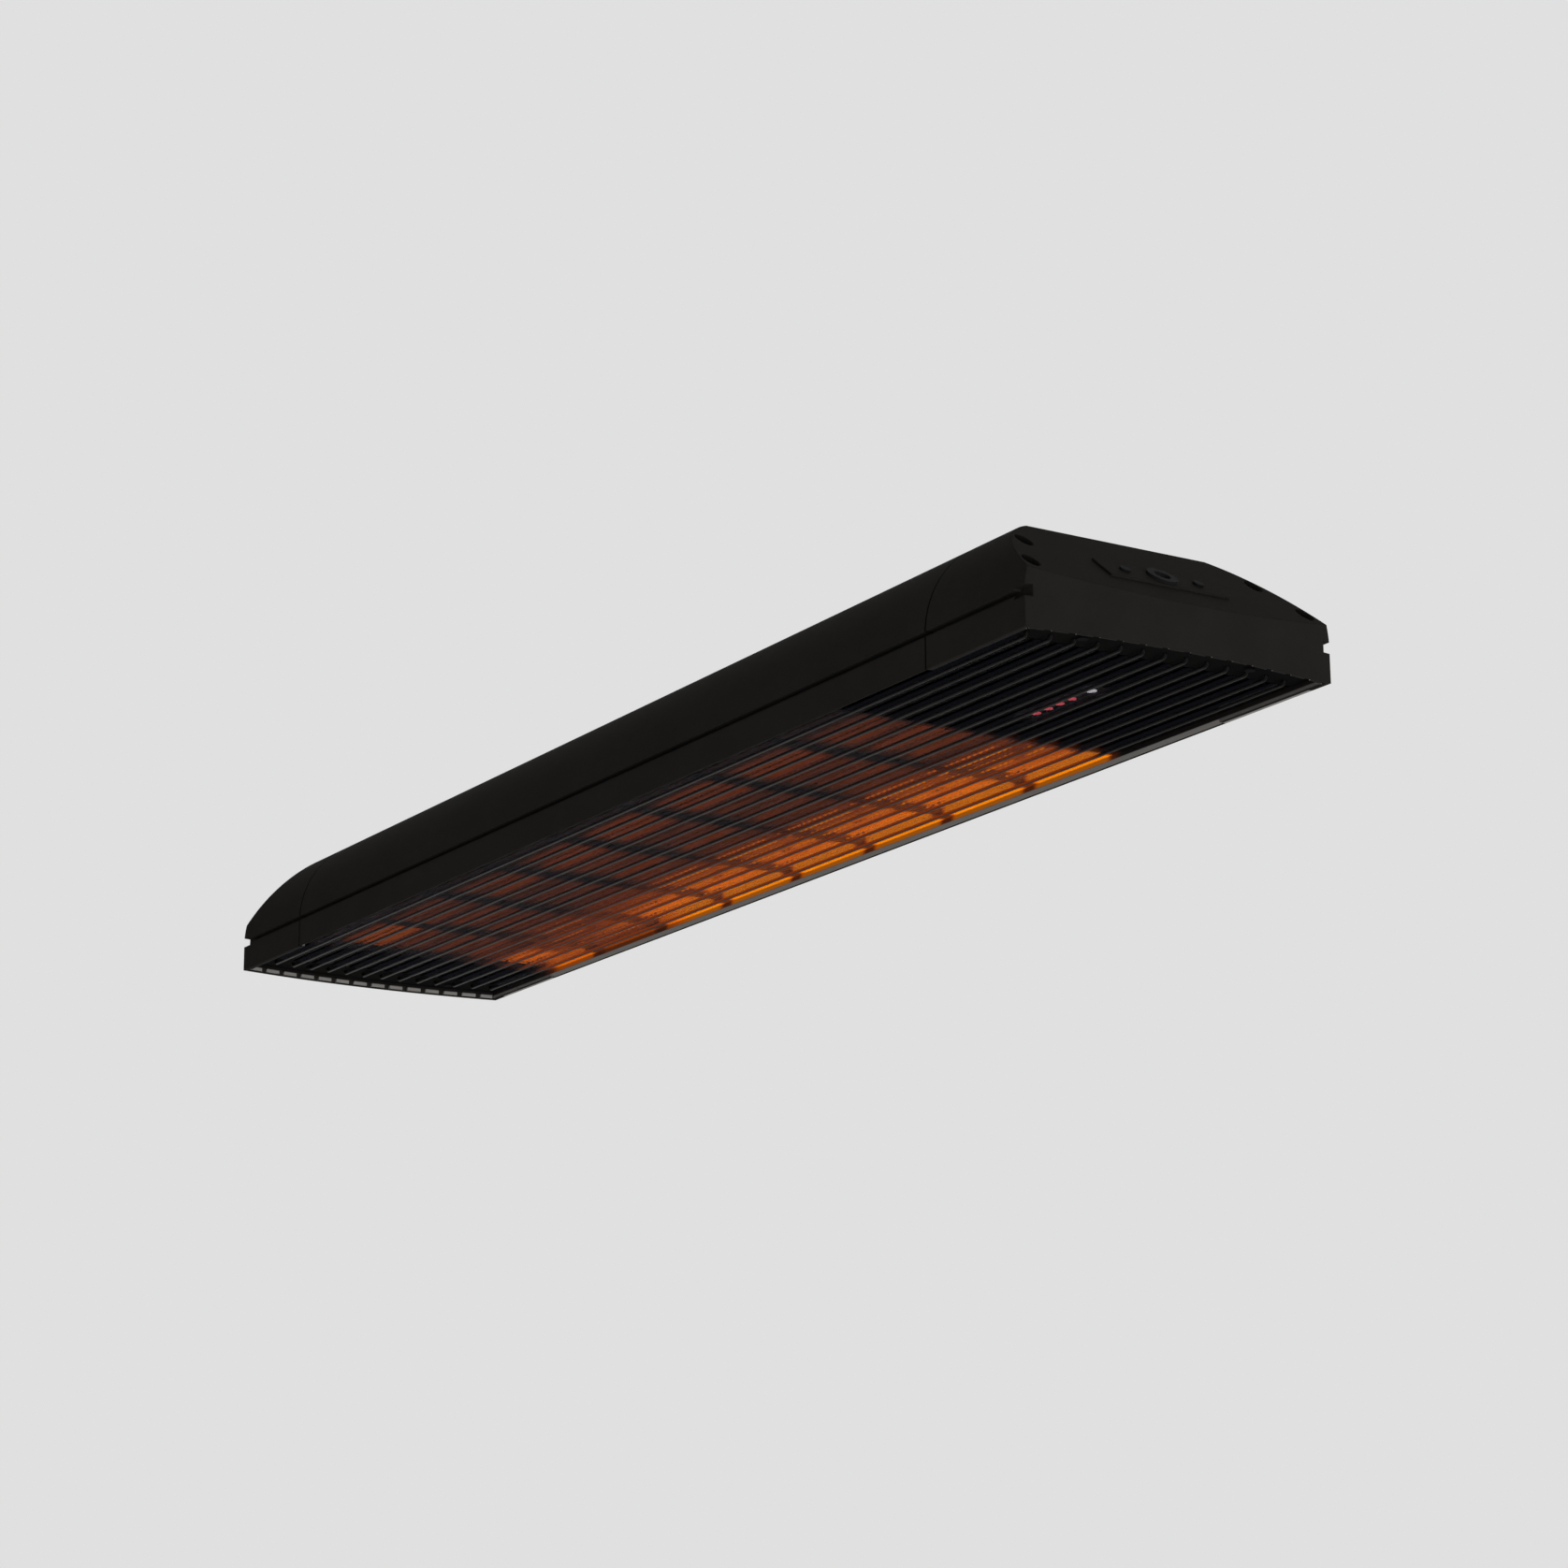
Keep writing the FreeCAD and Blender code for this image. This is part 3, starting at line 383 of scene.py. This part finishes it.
def drawn_rod(f, dark, light):
    """Round steel rod, dark all round, with a painted highlight in a line along its lower near
    side, weaker towards the near end and over the hot half. Over the hot half its dark side has a
    painted reflection of the glow."""
    x, y, _ = f.split()
    hot = f.product(f.within(x, rod_glow_left, rod_glow_right),
                    f.smooth(y, 0.0, 1.0, *rod_glow_across))
    lines = f.drawn_lines((1.0, 40.0, 40.0))
    # painted highlight: a light line where the surface faces down and towards the near side
    highlight_facing = f.dot(f.normal, (0.0, -0.31, -0.95))
    rod_highlight = f.product(f.smooth(highlight_facing, 0.0, 1.0, 0.80, 0.96), f.over(lines, 0.8, 1.0),
                       f.smooth(x, 1.0, 0.2, *rod_highlight_fading), f.span(hot, 1.0, 0.5))
    # painted glow on the rod's dark side over the hot half, a painted reflection of the ribbons
    rod_glow_mask = f.product(hot, f.smooth(highlight_facing, 1.0, 0.0, 0.55, 0.95))
    f.set(Base_Color=f.mix(rod_highlight, dark, light), Roughness=f.over(lines, 0.35, 0.5),
          Metallic=0.8, Specular_IOR_Level=0.1,
          Emission_Color=f.ramp(rod_glow_mask, (0.0, unlit), (1.0, rod_reflected_glow)), Emission_Strength=1.0)


def moulded(f, dark, light, rough=(0.4, 0.6), grain=700.0, cloud=40.0, depth=0.00003,
            specular=0.35, painted_glow=None):
    """Plastic, ceramic or board: a cloudy tone over a fine moulded grain, with a painted glow where
    a function for it is given.
    """
    tone = f.noise(cloud, 4.0)
    fine = f.noise(grain, 3.0)
    f.bump(fine, depth, 0.5)
    f.set(Base_Color=f.tones(tone, dark, light), Roughness=f.over(fine, *rough),
          Specular_IOR_Level=specular)
    # painted glow, for the pieces that have one
    if painted_glow:
        painted_glow(f, tone)


def bar_painted_glow(f, tone):
    """A dull painted glow where the holder bars cross the hot half."""
    y = f.split()[1]
    glow_level = f.product(f.smooth(y, 0.0, 1.0, *bar_glow_across), f.over(tone, 0.7, 1.0))
    f.set(Emission_Color=f.ramp(glow_level, (0.0, unlit), (1.0, bar_glow_colour)), Emission_Strength=5.0)


def spangled_zinc(f, dark, light):
    """Zinc-coated sheet: angular crystals of differing tone."""
    tone, gloss, _ = f.new("SeparateXYZ", Vector=f.cells(120.0)["Color"]).outputs
    f.bump(f.noise(400.0), 0.00002, 0.5)
    f.set(Base_Color=f.ramp(tone, (0.0, dark), (1.0, light)), Roughness=f.span(gloss, 0.3, 0.5),
          Metallic=1.0)


def smoked_glass(f, dark, light):
    """Dark heat-proof glass: clear through, tinted, with a faint ripple in its gloss. Beyond the
    heated zone it has a black print, which leaves a window for the small lights."""
    x, y, _ = f.split()
    ripple = f.noise(35.0, 2.0)
    zone = f.within(x, print_left, print_right)
    window = f.product(
        f.within(x, (light_low.x - window_outer, light_low.x - window_inner),
                 (light_high.x + window_inner, light_high.x + window_outer)),
        f.within(y, (light_low.y - window_outer, light_low.y - window_inner),
                 (light_high.y + window_far_inner, light_high.y + window_far_outer)))
    tint = f.tones(ripple, dark, light)
    f.set(Base_Color=f.mix(f.largest(zone, window), print_black, tint),
          Roughness=f.over(ripple, 0.0, 0.02), Transmission_Weight=1.0, IOR=1.45)


def from_bar(f, x):
    """The distance along x from the middle of the nearest holder bar."""
    return f.math("PINGPONG", f.math("SUBTRACT", x, first_bar), bar_step / 2)


def glowing_ribbon(f, steel):
    """Heated ribbon, whose glow is the largest of four levels. One rises across the hot far
    half, and moves outwards towards both ends. The dim one fades to cold at the near edge and has
    slow patches along each ribbon, stronger beside that edge. The others are both corners of the
    far end. Beside the holder bars the glow is dimmed, as painted shade of the bars."""
    x, y, _ = f.split()
    patches = f.stretched_noise(9.0, 3.0, (1.0, 9.0, 1.0))
    beside = from_bar(f, x)
    lean = f.math("ADD", f.smooth(x, 0.032, 0.0, *hot_lean_left),
                  f.smooth(x, 0.0, 0.016, *hot_lean_right))
    hot = f.product(f.span(f.math("SUBTRACT", y, lean), 0.0, 1.0, *hot_across),
                    f.over(patches, 0.85, 1.0))
    warm = f.smooth(y, 0.0, 1.0, *cold_edge_across)
    near_edge = f.product(f.within(x, near_edge_left, near_edge_right),
                          f.smooth(y, 0.5, 0.0, *near_edge_across))
    # the dim glow is also dimmed beside the bars, as painted shade
    dim = f.product(warm, f.span(patches, 0.17, 0.43, 0.35, 0.66),
                    f.smooth(beside, 0.4, 1.0, *dim_bar_shade), f.math("ADD", near_edge, 1.0))
    far_corner = f.product(f.smooth(x, 0.70, 0.0, *far_corner_along),
                           f.smooth(y, 0.0, 1.0, *far_corner_across))
    near_corner = f.product(warm, f.smooth(x, 0.50, 0.0, *near_corner_along),
                            f.smooth(y, 1.0, 0.0, *near_corner_across))
    # the glow is dimmed beside the holder bars, as painted shade
    level = f.product(f.largest(f.math("MINIMUM", dim, dim_limit), hot, far_corner, near_corner),
                      f.smooth(beside, 0.55, 1.0, *hot_bar_shade))
    f.set(Base_Color=f.tones(patches, steel, scaled(steel, 2)), Roughness=f.over(patches, 0.5, 0.7),
          Metallic=0.5, Emission_Color=f.ramp(level, *glow_stops),
          Emission_Strength=glow_strength)


def painted_glow_beside(f, share, where=1.0):
    """Gives a surface a painted glow, a share of the light of the hot half beside it, with painted
    shade behind the holder bars and less towards the far end."""
    x, y, _ = f.split()
    level = f.product(
        f.within(x, side_glow_left, side_glow_right),
        f.smooth(from_bar(f, x), 0.45, 0.97, *side_bar_shade),
        f.smooth(y, 0.0, 1.0, *side_glow_across),
        f.largest(f.smooth(x, 0.50, 1.0, *side_glow_fading),
                  f.smooth(x, 0.74, 0.4, *side_glow_returning)),
        where)
    f.set(Emission_Color=f.ramp(level, *glow_stops), Emission_Strength=share * glow_strength)


def gasket_with_painted_glow(f, dark, light):
    """Fibre ring with a painted glow from the hot half beside it."""
    fuzz = f.noise(900.0, 2.0)
    f.bump(fuzz, 0.0003, 0.8)
    f.set(Base_Color=f.tones(fuzz, dark, light), Roughness=f.over(fuzz, 0.8, 0.95),
          Specular_IOR_Level=0.2)
    # painted glow from the hot half beside it
    painted_glow_beside(f, 0.43)


def pan_with_painted_glow(f, dark, light):
    """Heat-darkened pan with drawn lines, whose far wall has a painted reflection of the hot half,
    as a painted glow.
    """
    lines = f.drawn_lines(along_piece)
    f.set(Base_Color=f.metal_tones(lines, dark, light), Roughness=f.over(lines, 0.55, 0.7),
          Metallic=1.0)
    painted_glow_beside(f, 0.66)


def small_light(f, body, glow, strength):
    """A lit lens: it shines from its lower face only, brighter in the middle of its cells than
    at their borders."""
    facet = f.cells(900.0)["Distance"]
    z = f.split()[2]
    face = f.span(z, 1.0, 0.0, *light_face)
    shine = f.product(face, f.span(facet, 1.0, 0.9))
    f.set(Base_Color=f.ramp(facet, (0.0, body), (1.0, scaled(body, 0.6))),
          Roughness=f.span(facet, 0.2, 0.35),
          Emission_Color=f.ramp(shine, (0.0, unlit), (1.0, glow)), Emission_Strength=strength)


def woven_fibre(f, dark, light):
    """Plaited fibre: slanting strands as a wave, frayed by a fine fuzz."""
    strands = f.new("TexWave", Scale=320.0, Distortion=1.5, Vector=f.place)
    strands.bands_direction = "DIAGONAL"
    fuzz = f.noise(900.0, 2.0)
    both = f.product(strands.outputs["Fac"], fuzz)
    f.bump(both, 0.0003, 0.8)
    f.set(Base_Color=f.ramp(both, (0.1, dark), (0.6, light)), Roughness=f.over(fuzz, 0.8, 0.95),
          Specular_IOR_Level=0.2)


def floor_coat(f, dark, light):
    """Matt pale paint with wide soft clouds."""
    f.set(Base_Color=f.tones(f.noise(3.0, 3.0), dark, light), Roughness=0.9,
          Specular_IOR_Level=0.1)


def finished(name, maker, **how):
    """A new material, dressed by one of the functions above."""
    f = Finish(name)
    maker(f, **how)
    return f.material


recipes = {
    # body paint: dark seam lines, and a painted highlight under the far rims
    "black_paint": dict(maker=powder_coat, dark=grey(0.0230, 0.08), light=grey(0.0270, 0.08),
                        gloss=0.55, specular=0.0005, seams_and_highlight=seams_and_rims),
    "bracket_paint": dict(maker=powder_coat, dark=grey(0.026), light=grey(0.034),
                          gloss=0.55, specular=0.03, grain=800.0),
    "comb_paint": dict(maker=powder_coat, dark=grey(0.004), light=grey(0.006, 0.1),
                       gloss=0.6, specular=0.01, grain=900.0),
    "inlet_screw_black": dict(maker=powder_coat, dark=grey(0.010), light=grey(0.016),
                              gloss=0.45, specular=0.004),
    "comb_screw_black": dict(maker=powder_coat, dark=grey(0.006), light=grey(0.010),
                             gloss=0.5, specular=0.01),
    "black_screws": dict(maker=rolled_metal, dark=grey(0.02), light=grey(0.05),
                         rough=(0.35, 0.5), stretch=all_ways),
    "zinc_steel": dict(maker=rolled_metal, dark=(0.42, 0.42, 0.40), light=(0.62, 0.61, 0.58),
                       rough=(0.3, 0.5), stretch=(30.0, 30.0, 30.0)),
    "bus_steel": dict(maker=rolled_metal, dark=grey(0.22, 0.1), light=grey(0.38, 0.1),
                      rough=(0.35, 0.5), stretch=(40.0, 2.0, 40.0)),
    "sink_metal": dict(maker=rolled_metal, dark=grey(0.5), light=grey(0.66), rough=(0.3, 0.45)),
    "earth_brass": dict(maker=rolled_metal, dark=(0.52, 0.36, 0.12), light=(0.70, 0.52, 0.22),
                        rough=(0.25, 0.4), stretch=all_ways),
    "end_trim_metal": dict(maker=folded_trim, dark=grey(0.30, 0.06), light=grey(0.42, 0.05),
                           bright_height=trim_bottom + 0.0022),
    # the side trims' metal is the end trims' metal made darker, as painted shade
    "side_trim_metal_shaded": dict(maker=folded_trim, dark=grey(0.15, 0.06), light=grey(0.20, 0.05),
                            bright_height=trim_bottom + 0.0017),
    # the rods' light tone is their painted highlight line
    "rod_steel": dict(maker=drawn_rod, dark=grey(0.010, 0.05), light=grey(0.085, 0.05)),
    "dark_glass": dict(maker=smoked_glass, dark=(0.095, 0.090, 0.094), light=(0.105, 0.10, 0.104)),
    "gasket_fibre": dict(maker=gasket_with_painted_glow, dark=grey(0.02), light=grey(0.09, 0.1)),
    "bright_sheet": dict(maker=pan_with_painted_glow, dark=(0.13, 0.11, 0.09), light=(0.19, 0.165, 0.14)),
    "galvanised": dict(maker=spangled_zinc, dark=grey(0.40), light=grey(0.58)),
    "warm_ribbon": dict(maker=glowing_ribbon, steel=grey(0.03, 0.2)),
    "hot_ribbon": dict(maker=glowing_ribbon, steel=grey(0.03, 0.2)),
    "red_light": dict(maker=small_light, body=(0.4, 0.02, 0.02), glow=(0.62, 0.085, 0.11),
                      strength=10.0),
    "white_light": dict(maker=small_light, body=(0.6, 0.6, 0.62), glow=(0.72, 0.73, 0.77),
                        strength=8.0),
    # the holder bars have a painted glow over the hot half
    "mica": dict(maker=moulded, dark=(0.035, 0.026, 0.018), light=(0.065, 0.05, 0.035),
                 rough=(0.5, 0.7), grain=500.0, cloud=90.0, specular=0.3, painted_glow=bar_painted_glow),
    "fibre_board": dict(maker=moulded, dark=(0.52, 0.48, 0.42), light=(0.68, 0.64, 0.58),
                        rough=(0.8, 0.95), grain=500.0, cloud=60.0, depth=0.0002, specular=0.1),
    "white_ceramic": dict(maker=moulded, dark=(0.66, 0.63, 0.57), light=(0.78, 0.76, 0.70),
                          rough=(0.3, 0.5)),
    "board_green": dict(maker=moulded, dark=(0.010, 0.07, 0.028), light=(0.018, 0.11, 0.045),
                        rough=(0.3, 0.45), grain=300.0, cloud=120.0),
    "dark_plastic": dict(maker=moulded, dark=grey(0.014), light=grey(0.024)),
    "pale_plastic": dict(maker=moulded, dark=(0.58, 0.57, 0.53), light=(0.68, 0.67, 0.63)),
    "gland_black": dict(maker=moulded, dark=grey(0.014), light=grey(0.020), rough=(0.4, 0.55),
                        specular=0.004),
    "lead_sleeve": dict(maker=woven_fibre, dark=(0.35, 0.30, 0.22), light=(0.62, 0.56, 0.45)),
    "floor_paint": dict(maker=floor_coat, dark=grey(0.79), light=grey(0.81)),
    "flag_cloth": dict(maker=moulded, dark=(0.024, 0.026, 0.034), light=(0.028, 0.030, 0.040),
                       rough=(0.9, 1.0), specular=0.0),
}
finishes = {name: finished(name, **recipe) for name, recipe in recipes.items()}

# Pieces whose finish isn't the usual one of their slot.
own_finishes = {
    "end_trim_left": "end_trim_metal",
    "end_trim_right": "end_trim_metal",
    "side_trim_left": "side_trim_metal_shaded",
    "side_trim_right": "side_trim_metal_shaded",
    "inlet_screws": "inlet_screw_black",
    "comb_screws": "comb_screw_black",
}


def dress():
    """Gives each CAD node the finish of its slot in the record, or its own where it has one."""
    for name, node in nodes.items():
        for slot in node.material_slots:
            slot.material = finishes[own_finishes.get(name, slot.material.name.split(".")[0])]


# Camera, light and stage.

def place_camera():
    """Turns the camera by yaw about the upright, then pitch upward, then roll about the line of
    sight."""
    level = Vector((-math.cos(camera_yaw), math.sin(camera_yaw), 0))
    right = Vector((math.sin(camera_yaw), math.cos(camera_yaw), 0))
    ahead = math.cos(camera_pitch) * level + math.sin(camera_pitch) * Vector(upright)
    over = -math.sin(camera_pitch) * level + math.cos(camera_pitch) * Vector(upright)
    across = math.cos(camera_roll) * right + math.sin(camera_roll) * over
    over = -math.sin(camera_roll) * right + math.cos(camera_roll) * over
    lens = bpy.data.cameras.new("camera")
    lens.sensor_width = sensor_width
    lens.lens = sensor_width * focal_pixels / picture_side
    lens.clip_start = nearest
    lens.clip_end = farthest
    camera = bpy.data.objects.new("camera", lens)
    turn = Matrix((across, over, -ahead)).transposed().to_4x4()
    camera.matrix_world = Matrix.Translation(camera_place) @ turn
    scene.collection.objects.link(camera)
    scene.camera = camera


def studio_world():
    """A pale grey behind the object. Matt surfaces take their light from a faint grey all round
    and from a wide soft patch of sky, high on the far side."""
    world = bpy.data.worlds.new("studio")
    world.use_nodes = True
    w = Nodes(world.node_tree)
    middle = w.dot(w.new("TexCoord").outputs["Generated"], sky_middle)
    sky = w.smooth(middle, fill_grey, sky_grey, math.cos(sky_outer), math.cos(sky_inner))
    fill = w.new("Background", Color=grey(1.0), Strength=sky)
    seen = w.new("Background", Color=grey(background_grey))
    path = w.new("LightPath").outputs
    rays = w.largest(path["Is Camera Ray"], path["Is Glossy Ray"], path["Is Transmission Ray"])
    both = w.new("MixShader", Fac=rays)
    w.feed(both.inputs[1], fill.outputs[0])
    w.feed(both.inputs[2], seen.outputs[0])
    w.new("OutputWorld", Surface=both.outputs[0])
    scene.world = world


def key_light():
    """One wide soft lamp beyond the near end."""
    lamp = bpy.data.lights.new("key", "AREA")
    lamp.shape = "RECTANGLE"
    lamp.size = key_width
    lamp.size_y = key_height
    lamp.energy = key_power
    lamp.spread = key_spread
    holder = bpy.data.objects.new("key", lamp)
    holder.location = key_place
    holder.rotation_euler = (key_aim - key_place).to_track_quat("-Z", "Y").to_euler()
    scene.collection.objects.link(holder)


def mesh_object(name, points, faces, finish):
    """An object in the scene, of points and faces with one finish."""
    mesh = bpy.data.meshes.new(name)
    mesh.from_pydata(points, [], faces)
    mesh.update()
    mesh.materials.append(finishes[finish])
    piece = bpy.data.objects.new(name, mesh)
    scene.collection.objects.link(piece)
    return piece


def flat_sheet(name, middle, half, height, finish):
    """A level rectangle of the stage: its corners are its middle plus and minus half its sides."""
    signs = np.array([(-1, -1), (1, -1), (1, 1), (-1, 1)])
    level = np.array(middle) + signs * np.array(half)
    corners = np.column_stack([level, np.full(len(signs), height)])
    sheet = mesh_object(name, corners.tolist(), [(0, 1, 2, 3)], finish)
    return sheet


def black_flag():
    """A black card on the floor that only gloss sees, so that the glass mirrors no pale floor
    towards the camera."""
    flag = flat_sheet("flag", flag_middle, flag_half, flag_height, "flag_cloth")
    flag.visible_camera = False
    flag.visible_diffuse = False
    flag.visible_transmission = False
    flag.visible_shadow = False


def pale_floor():
    """A flat sheet under the object, wide enough to fill the views from above."""
    flat_sheet("floor", (0.0, 0.0), (floor_half, floor_half), floor_height, "floor_paint")


# Ribbons.

def carried(profile, steps):
    """Faces of a closed profile of four points, carried over a number of steps, with flat ends."""
    i = np.arange(steps - 1)[:, None] * profile
    k = np.arange(profile)[None, :]
    after = (k + 1) % profile
    sides = np.stack([i + k, i + after, i + profile + after, i + profile + k], -1)
    ends = np.stack([k[0, ::-1], k[0] + (steps - 1) * profile])
    return np.concatenate([sides.reshape(-1, 4), ends])


def pleated_bank(node, slot):
    """Ribbons in pleats, in the place of a bank of plain ones. The height along x is
    low + depth * (1 - cos(2 pi (x - start) / pleat)) / 2, and the section is a flat strip."""
    low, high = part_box(node)
    steps = int((high.x - low.x) / pleat_length * steps_per_pleat) + 1
    x = np.linspace(low.x, high.x, steps)
    rise = low.z + pleat_depth * (1 - np.cos(2 * np.pi * (x - low.x) / pleat_length)) / 2
    row = np.arange(ribbon_count)
    starts = low.y + (high.y - low.y - ribbon_width) * row / (ribbon_count - 1)
    y = starts[:, None, None] + np.array([0, ribbon_width, ribbon_width, 0])
    z = rise[None, :, None] + np.array([0, 0, ribbon_sheet, ribbon_sheet])
    points = np.stack(np.broadcast_arrays(x[None, :, None], y, z), -1)
    profile = points.shape[2]
    faces = carried(profile, steps) + (row * steps * profile)[:, None, None]
    piece = mesh_object(node + "_pleated", points.reshape(-1, 3).tolist(),
                        faces.reshape(-1, 4).tolist(), slot)
    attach(piece, "heater")
    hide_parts(node)


place_camera()
studio_world()
black_flag()
key_light()
dress()
pleated_bank("ribbon_bank_left", "warm_ribbon")
pleated_bank("ribbon_bank_right", "hot_ribbon")
pale_floor()
